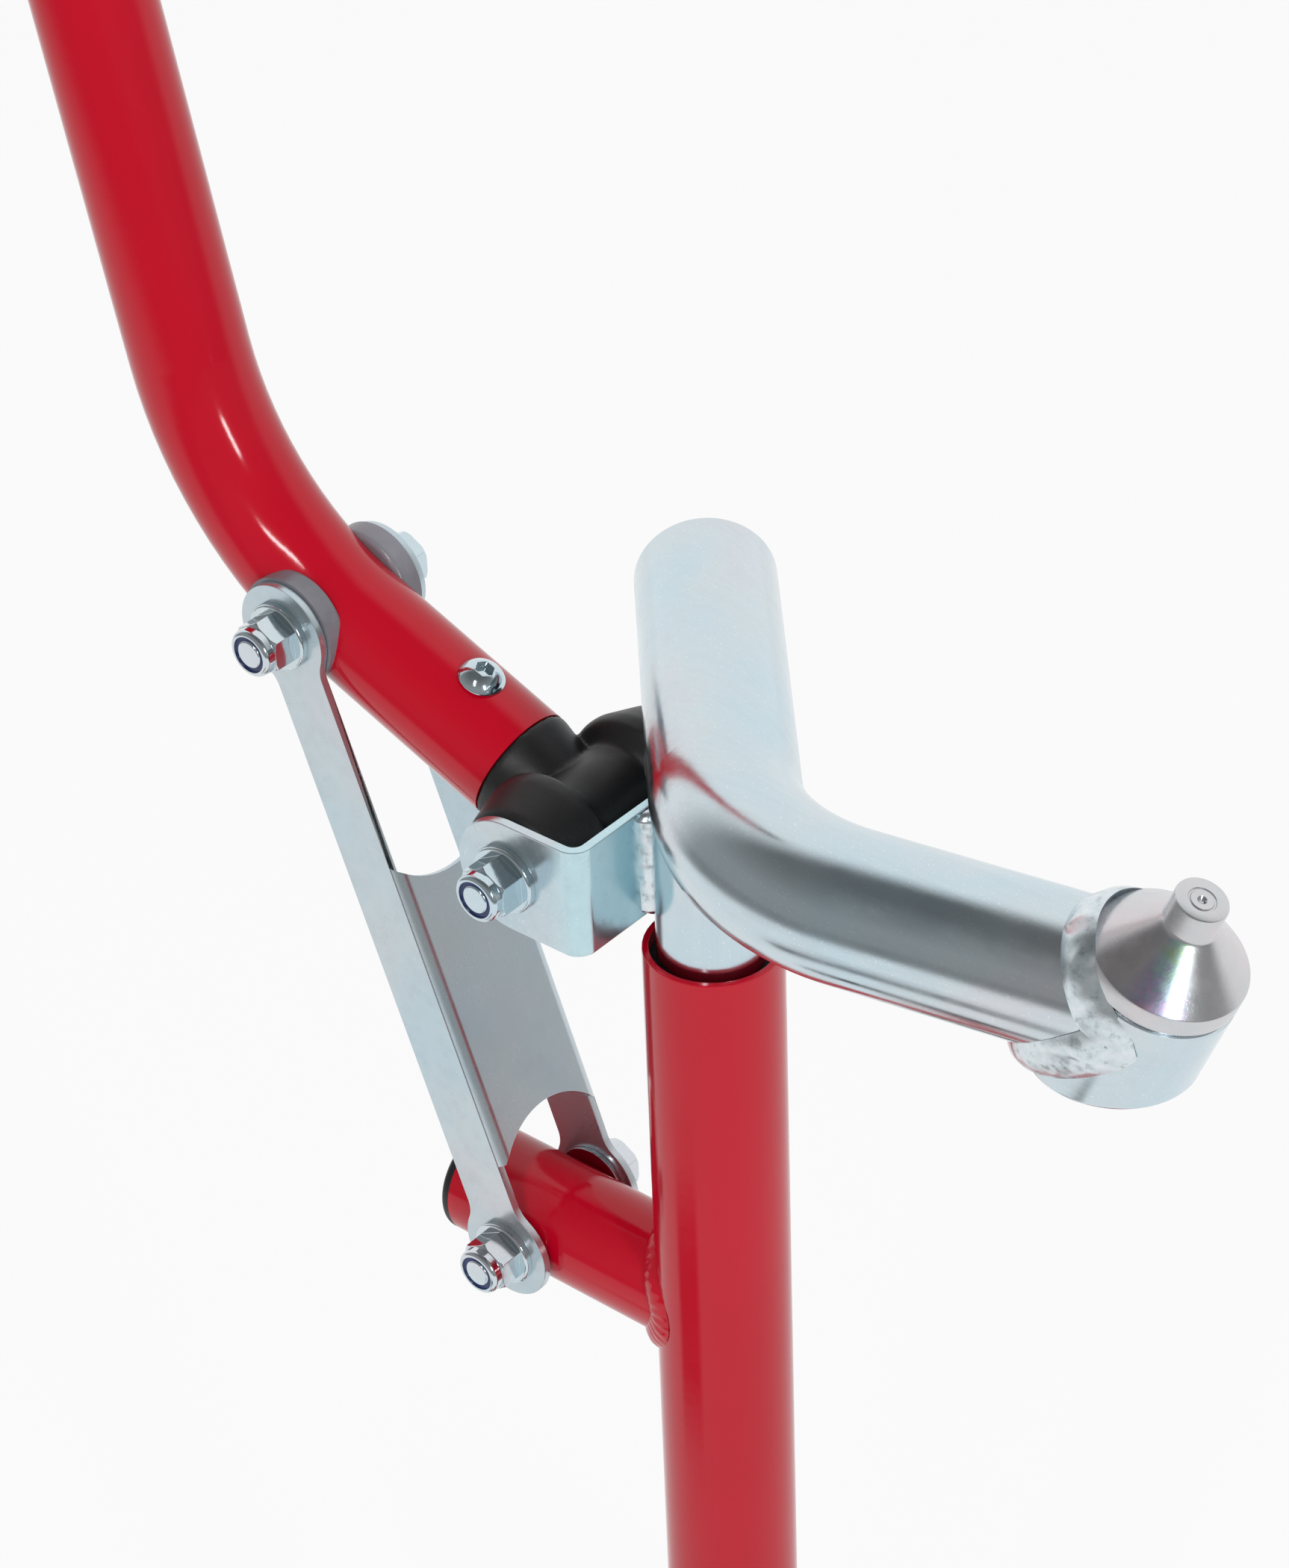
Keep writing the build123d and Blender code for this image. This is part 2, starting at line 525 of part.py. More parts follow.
# Base: toe plate, axle carrier and brace
toe_length = TOE_FRONT + TOE_BACK
toe = Pos((TOE_FRONT - TOE_BACK) / 2, 0, 0) * Box(toe_length, TOE_WIDTH, TOE_SHEET, align=BASE)
toe = fillet(toe.edges().filter_by(Axis.Z), TOE_CORNER)
save("toe_plate", toe)
bead_profile = Polyline(
    (POST_OD / 2, TOE_SHEET),
    (POST_OD / 2 + WELD_LEG, TOE_SHEET),
    (POST_OD / 2, TOE_SHEET + WELD_LEG),
    close=True,
)
save("toe_weld", revolve(Plane.XZ * make_face(bead_profile), Axis.Z))

axle_at = Vector(AXLE_X, 0, AXLE_Z)
axle_tube = cross_rod(axle_at, AXLE_TUBE_OD / 2, AXLE_END)
save("axle_tube", axle_tube - cross_rod(axle_at, AXLE_D / 2 + FIXED_GAP, AXLE_END))

cheek_boss = AXLE_TUBE_OD / 2 + CHEEK_RIM
for side, name in ((1, "axle_cheek_left"), (-1, "axle_cheek_right")):
    inner = side * POST_OD / 2
    cheek_plane = Plane(origin=(0, inner, 0), x_dir=(1, 0, 0), z_dir=(0, -1, 0))
    outline = make_hull(
        [
            *(Pos(AXLE_X, AXLE_Z) * Circle(cheek_boss)).edges(),
            *(Pos(0, AXLE_Z + CHEEK_HEIGHT) * Circle(CHEEK_END_R)).edges(),
            *(Pos(0, AXLE_Z - CHEEK_FOOT) * Circle(CHEEK_END_R)).edges(),
        ]
    )
    cheek = extrude(cheek_plane * outline, -side * CHEEK_SHEET)
    save(name, cheek - cross_rod(axle_at, AXLE_TUBE_OD / 2, AXLE_END))

brace_top = Vector(0, 0, BRACE_HEIGHT)
brace_dir = (brace_top - axle_at).normalized()
brace = pipe(axle_at, brace_dir, BRACE_OD / 2, BRACE_OD / 2 - BRACE_WALL, (brace_top - axle_at).length)
brace -= rod(Vector(0, 0, 0), UP, POST_OD / 2, POST_HEIGHT)
brace -= cross_rod(axle_at, AXLE_TUBE_OD / 2, AXLE_END)
save("brace_tube", brace)

# Axle, wheels and what keeps them on
axle_half = RETAINER_Y + RETAINER - RETAINER_END
save("axle_rod", cross_rod(axle_at, AXLE_D / 2, axle_half))

tyre_inner = WHEEL_D / 2 - TYRE_DEPTH
tyre_section = Pos((WHEEL_D / 2 + tyre_inner) / 2, 0) * Rectangle(TYRE_DEPTH, TYRE_WIDTH)
tyre_section = fillet(tyre_section.vertices().group_by(Axis.X)[-1], TYRE_ROUND)
bush_bore = AXLE_D / 2 + RUN_GAP
bush_outer = AXLE_D / 2 + WHEEL_BUSH_WALL
barrel_section = Pos(tyre_inner - RIM_BARREL / 2, 0) * Rectangle(RIM_BARREL, RIM_WIDTH)
hub_section = Pos((WHEEL_HUB_D / 2 + bush_outer) / 2, 0) * Rectangle(
    WHEEL_HUB_D / 2 - bush_outer, WHEEL_HUB_LENGTH - 2 * WHEEL_BUSH_LIP
)
disc_section = Pos((tyre_inner + bush_outer) / 2, 0) * Rectangle(tyre_inner - bush_outer, RIM_DISC)
wheel_tyre = revolve(Plane.XZ * tyre_section, Axis.Z)
wheel_rim = revolve(Plane.XZ * (barrel_section + hub_section + disc_section), Axis.Z)
hole_circle = (tyre_inner - RIM_BARREL + WHEEL_HUB_D / 2) / 2
for spot in PolarLocations(hole_circle, RIM_HOLES):
    wheel_rim -= spot * Cylinder(RIM_HOLE_D / 2, RIM_WIDTH)
wheel_bush = []
for end in (-1, 1):
    lip = Cylinder(WHEEL_HUB_D / 2 - WHEEL_BUSH_WALL, WHEEL_BUSH_LIP, align=BASE)
    bush = Cylinder(bush_outer, WHEEL_BUSH_LENGTH, align=BASE) + lip
    bush -= Cylinder(bush_bore, WHEEL_BUSH_LENGTH, align=BASE)
    wheel_bush.append(Plane(origin=(0, 0, end * WHEEL_HUB_LENGTH / 2), z_dir=(0, 0, -end)) * bush)

for side, word in ((1, "left"), (-1, "right")):
    wheel_plane = Plane(origin=axle_at + SIDE * side * WHEEL_Y, z_dir=SIDE * side)
    save("tyre_" + word, wheel_plane * wheel_tyre)
    save("wheel_rim_" + word, wheel_plane * wheel_rim)
    save("wheel_bushes_" + word, *[wheel_plane * bush for bush in wheel_bush])
    washer_at = axle_at + SIDE * side * (AXLE_END + PART_GAP)
    save(
        "axle_washer_" + word,
        pipe(washer_at, SIDE * side, AXLE_WASHER_D / 2, AXLE_D / 2 + FIXED_GAP, AXLE_WASHER),
    )
    retainer_plane = Plane(origin=axle_at + SIDE * side * RETAINER_Y, z_dir=SIDE * side)
    retainer = Cylinder(RETAINER_D / 2, RETAINER, align=BASE)
    retainer = fillet(retainer.edges().sort_by(Axis.Z)[-1], RETAINER_ROUND)
    retainer -= Cylinder(AXLE_D / 2 + FIXED_GAP, RETAINER - RETAINER_END, align=BASE)
    save("axle_cap_" + word, retainer_plane * retainer)
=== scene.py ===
import json
import math

import bmesh
import bpy
from mathutils import Euler, Matrix, Vector, noise
from mathutils.bvhtree import BVHTree


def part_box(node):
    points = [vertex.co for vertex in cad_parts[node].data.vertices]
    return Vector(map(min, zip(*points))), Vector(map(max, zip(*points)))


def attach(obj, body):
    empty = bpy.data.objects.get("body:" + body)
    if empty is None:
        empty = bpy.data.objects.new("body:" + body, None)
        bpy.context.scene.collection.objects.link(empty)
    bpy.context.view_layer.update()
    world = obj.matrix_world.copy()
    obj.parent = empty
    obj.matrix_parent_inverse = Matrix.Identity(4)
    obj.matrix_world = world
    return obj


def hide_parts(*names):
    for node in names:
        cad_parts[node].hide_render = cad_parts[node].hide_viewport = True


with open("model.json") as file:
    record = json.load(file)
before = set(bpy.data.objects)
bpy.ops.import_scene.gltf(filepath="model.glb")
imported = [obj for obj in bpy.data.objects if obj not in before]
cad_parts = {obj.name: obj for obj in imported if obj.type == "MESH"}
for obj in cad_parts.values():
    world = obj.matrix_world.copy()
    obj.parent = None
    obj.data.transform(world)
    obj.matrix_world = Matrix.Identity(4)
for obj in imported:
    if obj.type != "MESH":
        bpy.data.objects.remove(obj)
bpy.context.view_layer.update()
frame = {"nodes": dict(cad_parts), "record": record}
NODES = frame["nodes"]
BODIES = frame["record"]["behaviour"]["bodies"]
BODY_OF = {node: body for body, members in BODIES.items() for node in members}
SLOT_OF = {part["node"]: part["material_slot"] for part in frame["record"]["subparts"]}
SCENE = bpy.context.scene

# Shader nodes


def grey(value):
    return (value, value, value, 1.0)


class Tree:
    """Short ways to add shader nodes and join them."""

    def __init__(self, tree):
        self.nodes = tree.nodes
        self.links = tree.links

    def feed(self, socket, value):
        """Join a socket to an output, or set its value."""
        if isinstance(value, bpy.types.NodeSocket):
            self.links.new(value, socket)
        else:
            socket.default_value = value

    def add(self, kind, operation=None, **inputs):
        node = self.nodes.new("ShaderNode" + kind)
        if operation:
            node.operation = operation
        for socket, value in inputs.items():
            self.feed(node.inputs[socket.replace("_", " ")], value)
        return node

    def math(self, operation, first, second):
        node = self.add("Math", operation)
        self.feed(node.inputs[0], first)
        self.feed(node.inputs[1], second)
        return node.outputs["Value"]

    def dot(self, vector, direction):
        node = self.add("VectorMath", "DOT_PRODUCT")
        self.feed(node.inputs[0], vector)
        self.feed(node.inputs[1], direction)
        return node.outputs["Value"]

    def range(self, value, low, high, start=0.3, stop=0.7):
        """A value that goes from low at the start to high at the stop."""
        limits = {"From_Min": start, "From_Max": stop, "To_Min": low, "To_Max": high}
        return self.add("MapRange", Value=value, **limits).outputs["Result"]

    def step(self, value, start, stop):
        """A smooth rise from 0 at the start to 1 at the stop."""
        node = self.add("MapRange", Value=value, From_Min=start, From_Max=stop)
        node.interpolation_type = "SMOOTHSTEP"
        return node.outputs["Result"]

    def mix(self, factor, first, second):
        node = self.add("Mix")
        node.data_type = "RGBA"
        for name, value in (("Factor", factor), ("A", first), ("B", second)):
            self.feed(node.inputs[name], value)
        return node.outputs["Result"]

    def ramp(self, factor, *stops):
        """A colour ramp through (position, colour) stops."""
        node = self.add("ValToRGB", Fac=factor)
        while len(node.color_ramp.elements) < len(stops):
            node.color_ramp.elements.new(0.5)
        for element, (position, colour) in zip(node.color_ramp.elements, stops):
            element.position = position
            element.color = colour
        return node.outputs["Color"]


class Shader(Tree):
    """A material with its principled shader, and patterns in object coordinates."""

    def __init__(self, name, **values):
        self.material = bpy.data.materials.new(name)
        self.material.use_nodes = True
        super().__init__(self.material.node_tree)
        self.bsdf = self.nodes["Principled BSDF"]
        self.place = self.add("TexCoord").outputs["Object"]
        for socket, value in values.items():
            self.to(socket.replace("_", " "), value)

    def to(self, socket, value):
        self.feed(self.bsdf.inputs[socket], value)

    def stretched(self, scale, turn):
        """Object coordinates turned and stretched, so a pattern runs along one direction."""
        angles = [math.radians(angle) for angle in turn]
        return self.add("Mapping", Vector=self.place, Rotation=angles, Scale=scale).outputs["Vector"]

    def noise(self, scale, detail=2.0, rough=0.5, vector=None):
        vector = self.place if vector is None else vector
        inputs = {"Scale": scale, "Detail": detail, "Roughness": rough}
        return self.add("TexNoise", Vector=vector, **inputs).outputs["Fac"]

    def bumps(self, *layers):
        """Stacked bumps, each a height, a strength and a depth in metres."""
        normal = None
        for height, strength, depth in layers:
            node = self.add("Bump", Height=height, Strength=strength, Distance=depth)
            if normal is not None:
                self.links.new(normal, node.inputs["Normal"])
            normal = node.outputs["Normal"]
        self.to("Normal", normal)


# Materials

COAT_DARK = (0.53, 0.0008, 0.015, 1)
COAT_PALE = (0.575, 0.0015, 0.019, 1)
PLATE_BLUE = (0.56, 0.69, 0.76, 1)
PLATE_PLAIN = (0.61, 0.70, 0.74, 1)
PLATE_PINK = (0.66, 0.68, 0.72, 1)
PLATE_STAIN = (0.58, 0.80, 0.86, 1)
PLATE_SPECK = (0.92, 0.94, 0.96, 1)
PLATE_LINE = (0.44, 0.50, 0.53, 1)
TURNED_COOL = (0.62, 0.64, 0.66, 1)
TURNED_WARM = (0.68, 0.64, 0.66, 1)
# Colour and facing way of the painted reflection on the turned pin: coloured glints painted into its
# colour.
PAINTED_GLINT_TINT = (0.42, 0.58, 0.62, 1)
PAINTED_GLINT_SIDE = (0.52, -0.65, 0.55)
# Weld colours: the pit colour is painted shade, and the brightest colour is a painted highlight on the
# crowns.
WELD_PIT_SHADE = (0.46, 0.50, 0.52, 1)
WELD_PLAIN = (0.66, 0.75, 0.79, 1)
WELD_CROWN_HIGHLIGHT = (0.78, 0.82, 0.85, 1)


def red_coat():
    """Glossy powder coat with a slight orange peel."""
    s = Shader("red_powder_coat", Specular_IOR_Level=0.36)
    s.to("Base Color", s.ramp(s.noise(14, 3), (0.3, COAT_DARK), (0.7, COAT_PALE)))
    s.to("Roughness", s.range(s.noise(55, 4), 0.09, 0.15))
    s.bumps((s.noise(330, 2, 0.4), 0.05, 0.0003), (s.noise(30, 1), 0.06, 0.001))
    return s.material


def zinc(name, scale, turn=(0, 0, 0), low=0.13, high=0.22, grain=0.06, stain=None, metal=1.0):
    """Bright zinc plate: pale blue to pinkish clouds, bright specks and fine drawing lines."""
    s = Shader(name, Metallic=metal)
    base = s.ramp(s.noise(20, 4, 0.55), (0.34, PLATE_BLUE), (0.54, PLATE_PLAIN), (0.72, PLATE_PINK))
    if stain:
        across_x = s.add("SeparateXYZ", Vector=s.place).outputs["X"]
        base = s.mix(s.range(across_x, 0.0, 0.9, *stain), base, PLATE_STAIN)
    specks = s.range(s.noise(1500, 1), 0.0, 0.35, 0.66, 0.74)
    base = s.mix(specks, base, PLATE_SPECK)
    lines = s.noise(1.0, 4, 0.65, s.stretched(scale, turn))
    s.to("Base Color", s.mix(s.range(lines, 0.0, 0.13, 0.48, 0.80), base, PLATE_LINE))
    clouds = s.range(s.noise(60, 5, 0.6), low, high)
    s.to("Roughness", s.math("ADD", clouds, s.range(lines, -0.02, 0.03)))
    s.bumps((lines, grain, 0.00012), (s.noise(800, 2), 0.06, 0.0001), (s.noise(50, 2), 0.06, 0.0006))
    return s.material


def turned_zinc():
    """Zinc on a turned part, with a painted reflection: coloured glints painted down the side that faces
    one fixed way.
    """
    s = Shader("zinc_turned_pin", Metallic=1.0)
    grains = s.add("TexVoronoi", Vector=s.place, Scale=1600.0).outputs["Color"]
    # Painted reflection: coloured glints are painted where the surface faces one fixed way, and their hue
    # drifts with the grains.
    glint_facing = s.dot(s.add("NewGeometry").outputs["Normal"], PAINTED_GLINT_SIDE)
    side = s.range(glint_facing, 0.0, 0.6, 0.94, 0.985)
    drift = s.range(s.noise(120, 2), 0.30, 0.85)
    hue = s.math("ADD", drift, s.range(grains, -0.10, 0.10, 0.0, 1.0))
    glint_tint = s.add("HueSaturation", Hue=hue, Saturation=1.5, Value=1.0, Fac=1.0, Color=PAINTED_GLINT_TINT)
    base = s.ramp(s.noise(60, 3), (0.35, TURNED_COOL), (0.65, TURNED_WARM))
    s.to("Base Color", s.mix(side, base, glint_tint.outputs["Color"]))
    s.to("Roughness", s.range(s.noise(220, 3), 0.22, 0.32))
    s.bumps((grains, 0.12, 0.00012), (s.noise(420, 2), 0.06, 0.0002))
    return s.material


def weld_zinc():
    """Plated weld metal, with painted shade darkening its pits and a painted highlight lightening its
    crowns.
    """
    s = Shader("zinc_weld", Metallic=1.0)
    pits = s.noise(330, 4, 0.6)
    # Painted shade in the pits and painted highlight on the crowns, following the same pattern as the
    # bump's height.
    s.to("Base Color", s.ramp(pits, (0.30, WELD_PIT_SHADE), (0.44, WELD_PLAIN), (0.7, WELD_CROWN_HIGHLIGHT)))
    s.to("Roughness", s.range(s.noise(150, 4), 0.18, 0.34))
    s.bumps((pits, 0.08, 0.0005), (s.noise(1200, 2), 0.06, 0.0002))
    return s.material


def plastic(name, tone, low, high, grain=0.18):
    """Moulded plastic or rubber whose colour drifts a little, with a fine grain."""
    s = Shader(name)
    dark = tuple(c * 0.75 for c in tone) + (1,)
    pale = tuple(c * 1.35 for c in tone) + (1,)
    s.to("Base Color", s.ramp(s.noise(38, 5, 0.6), (0.30, dark), (0.72, pale)))
    s.to("Roughness", s.range(s.noise(90, 4), low, high))
    s.bumps((s.noise(1500, 2), grain, 0.0002), (s.noise(70, 2), 0.10, 0.0006))
    return s.material


ARM_TURN = 10.2
ALONG_X = (14, 420, 420)
ALONG_Z = (420, 420, 14)
EVEN = (240, 240, 240)
FINE = (260, 260, 260)
STAINED = (-0.027, -0.019)

RED = red_coat()
ZINC_ARM = zinc("zinc_drawn_arm", ALONG_X, (0, 0, -ARM_TURN))
ZINC_UP = zinc("zinc_drawn_upright", ALONG_Z)
ZINC_SHEET = zinc("zinc_pressed_sheet", EVEN, low=0.17, high=0.30, metal=0.75)
ZINC_BRACKET = zinc("zinc_blued_sheet", EVEN, low=0.16, high=0.28, stain=STAINED, metal=0.85)
ZINC_HARD = zinc("zinc_fasteners", FINE, low=0.07, high=0.13, grain=0.05)
ZINC_PIN = turned_zinc()
ZINC_WELD = weld_zinc()
BLACK = plastic("satin_black_plastic", (0.007, 0.007, 0.008), 0.38, 0.54)
BLUE = plastic("dark_blue_nylon", (0.008, 0.022, 0.11), 0.25, 0.35)
GREY = plastic("grey_nylon", (0.20, 0.20, 0.225), 0.20, 0.30, 0.08)
TYRE = plastic("tyre_rubber", (0.016, 0.0155, 0.015), 0.62, 0.82)
RIM = plastic("rim_paint", (0.20, 0.20, 0.205), 0.24, 0.36, 0.08)
SLOT_LOOK = {
    "red_paint": RED,
    "zinc_plate": ZINC_HARD,
    "black_plastic": BLACK,
    "blue_nylon": BLUE,
    "grey_plastic": GREY,
    "tyre_rubber": TYRE,
    "rim_paint": RIM,
}
NODE_LOOK = {
    "yoke_tube": ZINC_ARM,
    "pin_boss": ZINC_ARM,
    "sleeve_tube": ZINC_UP,
    "link_channel": ZINC_SHEET,
    "pivot_bracket": ZINC_BRACKET,
}
for node, slot in SLOT_OF.items():
    NODES[node].data.materials.clear()
    NODES[node].data.materials.append(NODE_LOOK.get(node, SLOT_LOOK[slot]))

# Pieces


def finish_piece(name, shape, body, look, sharp=35.0):
    """Turn a bmesh into a smooth shaded piece that rides a body."""
    mesh = bpy.data.meshes.new(name)
    shape.to_mesh(mesh)
    shape.free()
    mesh.materials.append(look)
    mesh.shade_smooth()
    mesh.set_sharp_from_angle(angle=math.radians(sharp))
    piece = bpy.data.objects.new(name, mesh)
    SCENE.collection.objects.link(piece)
    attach(piece, body)
    return piece


def node_shape(node):
    """A node's mesh with its seams closed and its flat faces whole."""
    source = NODES[node].data
    plain = bpy.data.meshes.new("plain")
    plain.from_pydata([v.co for v in source.vertices], [], [p.vertices[:] for p in source.polygons])
    shape = bmesh.new()
    shape.from_mesh(plain)
    bpy.data.meshes.remove(plain)
    bmesh.ops.remove_doubles(shape, verts=shape.verts, dist=2e-6)
    flat = math.radians(0.4)
    bmesh.ops.dissolve_limit(shape, angle_limit=flat, verts=shape.verts, edges=shape.edges)
    return shape


def eased(node, width):
    """The node with its sharp edges rounded off."""
    shape = node_shape(node)
    surface = BVHTree.FromBMesh(shape)
    limit = math.radians(35.0)
    sharp = [e for e in shape.edges if len(e.link_faces) == 2 and e.calc_face_angle() > limit]
    bmesh.ops.bevel(
        shape, geom=sharp, offset=width, segments=2, profile=0.5, affect="EDGES", clamp_overlap=False
    )
    for vertex in shape.verts:
        place, _, _, gap = surface.find_nearest(vertex.co)
        if gap > width / 2:
            vertex.co = place
    bmesh.ops.dissolve_degenerate(shape, dist=1e-7, edges=shape.edges)
    look = NODES[node].data.materials[0]
    piece = finish_piece(node + ".eased", shape, BODY_OF[node], look)
    even = piece.modifiers.new("even_normals", "WEIGHTED_NORMAL")
    even.keep_sharp = True
    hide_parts(node)


EASED_WIDTH = {
    "link_channel": 0.0002,
    "pivot_bracket": 0.0005,
    "pin_boss": 0.0011,
    "post_tube": 0.0005,
    "toe_plate": 0.0012,
    "axle_cheek_left": 0.0010,
    "axle_cheek_right": 0.0010,
    "pivot_nut": 0.00015,
    "link_nuts": 0.00015,
    "pivot_bolt": 0.00015,
    "link_bolts": 0.00015,
    "link_washers": 0.0004,
    "plug_screw": 0.0002,
    "axle_washer_left": 0.0004,
    "axle_washer_right": 0.0004,
    "wheel_rim_left": 0.0010,
    "wheel_rim_right": 0.0010,
}
for node, width in EASED_WIDTH.items():
    eased(node, width)

# Weld beads

BEAD_ROOT = 0.0006
BEAD_SPREAD = 1.15
LUMP_SCALE = 110
PIT_SCALE = 280


def across(direction, tilt):
    """The part of a direction that is square to a tilt, at unit length."""
    return (direction - tilt * direction.dot(tilt)).normalized()


def spokes(axis, count):
    """Directions all round an axis."""
    first = axis.orthogonal().normalized()
    second = axis.cross(first)
    angles = [2 * math.pi * index / count for index in range(count)]
    return [first * math.cos(angle) + second * math.sin(angle) for angle in angles]


def seam(start, along, radius, axis_at, axis, axis_radius):
    """Where a tube first meets another: points, ways out of the corner and how far it opens."""
    path = []
    for out in spokes(along, 240):
        foot = start + out * radius - axis_at
        foot -= axis * foot.dot(axis)
        slope = along - axis * along.dot(axis)
        half = foot.dot(slope) / slope.dot(slope)
        rest = half * half - (foot.dot(foot) - axis_radius * axis_radius) / slope.dot(slope)
        point = start + out * radius + along * (-half - math.sqrt(max(rest, 0.0)))
        other = across(point - axis_at, axis)
        middle = (out + other).normalized()
        path.append((point, middle, middle.dot(out)))
    return path


def ring(centre, axis, radius):
    """A circle where a tube stands on a plate."""
    opening = math.sqrt(0.5)
    return [(centre + out * radius, (out + axis).normalized(), opening) for out in spokes(axis, 200)]


def line(start, stop, out, opening, count=90):
    """A straight corner."""
    return [(start.lerp(stop, index / (count - 1)), out.normalized(), opening) for index in range(count)]


def bead_shape(shape, path, leg, crown, closed=True, pitch=0.0030, ripple=0.00012, lumps=0.0004):
    """Add a weld bead: a low crown across the corner, with ripples along it and lumps."""
    steps = 14
    count = len(path)
    loops = []
    travelled = 0.0
    for index, (point, out, opening) in enumerate(path):
        after = path[(index + 1) % count][0] if closed else path[min(index + 1, count - 1)][0]
        before = path[index - 1][0] if closed or index else point
        tangent = (after - before).normalized()
        out = across(out, tangent)
        side = tangent.cross(out)
        travelled += (point - before).length
        size = 1.0 if closed else min(1.0, math.sqrt(min(index, count - 1 - index) / 6 + 0.04))
        half = leg * opening * size
        height = leg * math.sqrt(1 - opening * opening) * size
        rise = crown * size
        radius = (half * half + rise * rise) / (2 * rise)
        reach = math.asin(min(1.0, BEAD_SPREAD * half / radius))
        wave = ripple * math.cos(2 * math.pi * travelled / pitch)
        loop = [shape.verts.new(point - out * BEAD_ROOT)]
        for step in range(steps + 1):
            angle = reach * (2 * step / steps - 1)
            away = out * math.cos(angle) + side * math.sin(angle)
            spot = point + out * (height + rise - radius) + away * radius
            swell = wave + lumps * (noise.noise(spot * LUMP_SCALE) + 0.3 * noise.noise(spot * PIT_SCALE))
            loop.append(shape.verts.new(spot + away * swell * math.cos(angle / reach * 1.4)))
        loops.append(loop)
    width = len(loops[0])
    for index in range(count if closed else count - 1):
        here, there = loops[index], loops[(index + 1) % count]
        for spot in range(width):
            shape.faces.new((here[spot], here[spot - 1], there[spot - 1], there[spot]))
    if not closed:
        shape.faces.new(loops[0])
        shape.faces.new(reversed(loops[-1]))


def weld(name, body, look, paths, leg, crown, node=None, **options):
    """Beads along some paths as one piece."""
    shape = bmesh.new()
    for path in paths:
        bead_shape(shape, path, leg, crown, **options)
    bmesh.ops.recalc_face_normals(shape, faces=shape.faces)
    piece = finish_piece(name, shape, body, look, sharp=70.0)
    if node:
        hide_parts(node)


def level(turn):
    """A level direction, by its turn from +X in degrees."""
    return Vector((math.cos(math.radians(turn)), math.sin(math.radians(turn)), 0))


def upright_pair(x, y, low, high, out, opening, count=90):
    """Upright corners on both sides of the middle plane."""
    pair = []
    for side in (-1, 1):
        foot = Vector((x, side * y, low))
        head = Vector((x, side * y, high))
        pair.append(line(foot, head, Vector((out[0], side * out[1], 0)), opening, count))
    return pair


FORWARD = Vector((1, 0, 0))
SIDE = Vector((0, 1, 0))
UP = Vector((0, 0, 1))
ORIGIN = Vector((0, 0, 0))
POST_R = 0.020
SLEEVE_R = 0.016
SLEEVE_AT = Vector((0, 0, 0.6))
TUBE_R = 0.0205
CORNER = Vector((0.0418, -0.0415, 0.766))
ARM = level(ARM_TURN)
FAR = level(131.7)
BOSS_AT = CORNER + ARM * 0.115
BOSS_TILT = math.radians(22)
BOSS_UP = Vector((math.sin(BOSS_TILT), 0, math.cos(BOSS_TILT)))
STUB_R = 0.0175
STUB_AT = Vector((-0.09, 0, 0.568))
TOE_TOP = Vector((0, 0, 0.006))
AXLE = Vector((-0.110, 0, 0.100))
AXLE_R = 0.016
CHEEK_FACE = 0.026
BRACE_R = 0.0125
BRACE_TOP = Vector((0, 0, 0.360))
BRACE = (BRACE_TOP - AXLE).normalized()

weld(
    "boss_weld.bead",
    "lift_head",
    ZINC_WELD,
    [seam(CORNER, ARM, TUBE_R, BOSS_AT, BOSS_UP, TUBE_R)],
    leg=0.0058,
    crown=0.0010,
    node="boss_weld",
    lumps=0.0006,
    ripple=0.00003,
    pitch=0.0046,
)
weld(
    "yoke_weld.bead",
    "lift_head",
    ZINC_WELD,
    [seam(SLEEVE_AT, UP, SLEEVE_R, CORNER, FAR, TUBE_R)],
    leg=0.0034,
    crown=0.0006,
    node="yoke_weld",
)
weld(
    "bracket_welds.bead",
    "lift_head",
    ZINC_WELD,
    upright_pair(x=-0.0150, y=0.0078, low=0.7085, high=0.7430, out=(0.62, 0.78), opening=0.82),
    leg=0.0040,
    crown=0.0009,
    node="bracket_welds",
    closed=False,
    lumps=0.0007,
    ripple=0.00006,
    pitch=0.0042,
)
weld(
    "stub_weld.bead",
    "frame",
    RED,
    [seam(STUB_AT, FORWARD, STUB_R, ORIGIN, UP, POST_R)],
    leg=0.0042,
    crown=0.0007,
    node="stub_weld",
)
weld(
    "toe_weld.bead",
    "frame",
    RED,
    [ring(TOE_TOP, UP, POST_R)],
    leg=0.0045,
    crown=0.0007,
    node="toe_weld",
)
weld(
    "brace_welds",
    "frame",
    RED,
    [seam(AXLE, BRACE, BRACE_R, ORIGIN, UP, POST_R), seam(BRACE_TOP, -BRACE, BRACE_R, AXLE, SIDE, AXLE_R)],
    leg=0.0036,
    crown=0.0006,
)
weld(
    "cheek_welds",
    "frame",
    RED,
    [ring(AXLE + SIDE * side * CHEEK_FACE, SIDE * side, AXLE_R) for side in (-1, 1)],
    leg=0.0040,
    crown=0.0006,
)
weld(
    "cheek_edge_welds",
    "frame",
    RED,
    upright_pair(x=0.0088, y=0.0182, low=0.056, high=0.192, out=(1, 0.25), opening=0.75, count=220),
    leg=0.0030,
    crown=0.0006,
    closed=False,
)

# Turned pin, moulded plug and tyres

PIN_PROFILE = (
    # Shank in the boss
    (0, -19.7), (10.0, -19.7), (10.0, 0),
    # Collar
    (19.2, 0), (20.0, 0.35), (20.5, 1.2), (20.5, 6.1), (20.35, 6.5), (20.0, 6.75),
    # Cone and nose
    (7.9, 18.75), (7.3, 19.3), (7.0, 20.0), (7.0, 27.5), (6.85, 27.85), (6.5, 28.0),
    # Ring groove and centre mark in the nose's end
    (3.75, 28.0), (3.55, 27.7), (3.15, 27.65), (2.95, 27.95),
    (1.3, 27.9), (1.0, 27.6), (0.6, 27.1), (0, 26.9),
)
BOSS_TOP = BOSS_AT + BOSS_UP * 0.0103


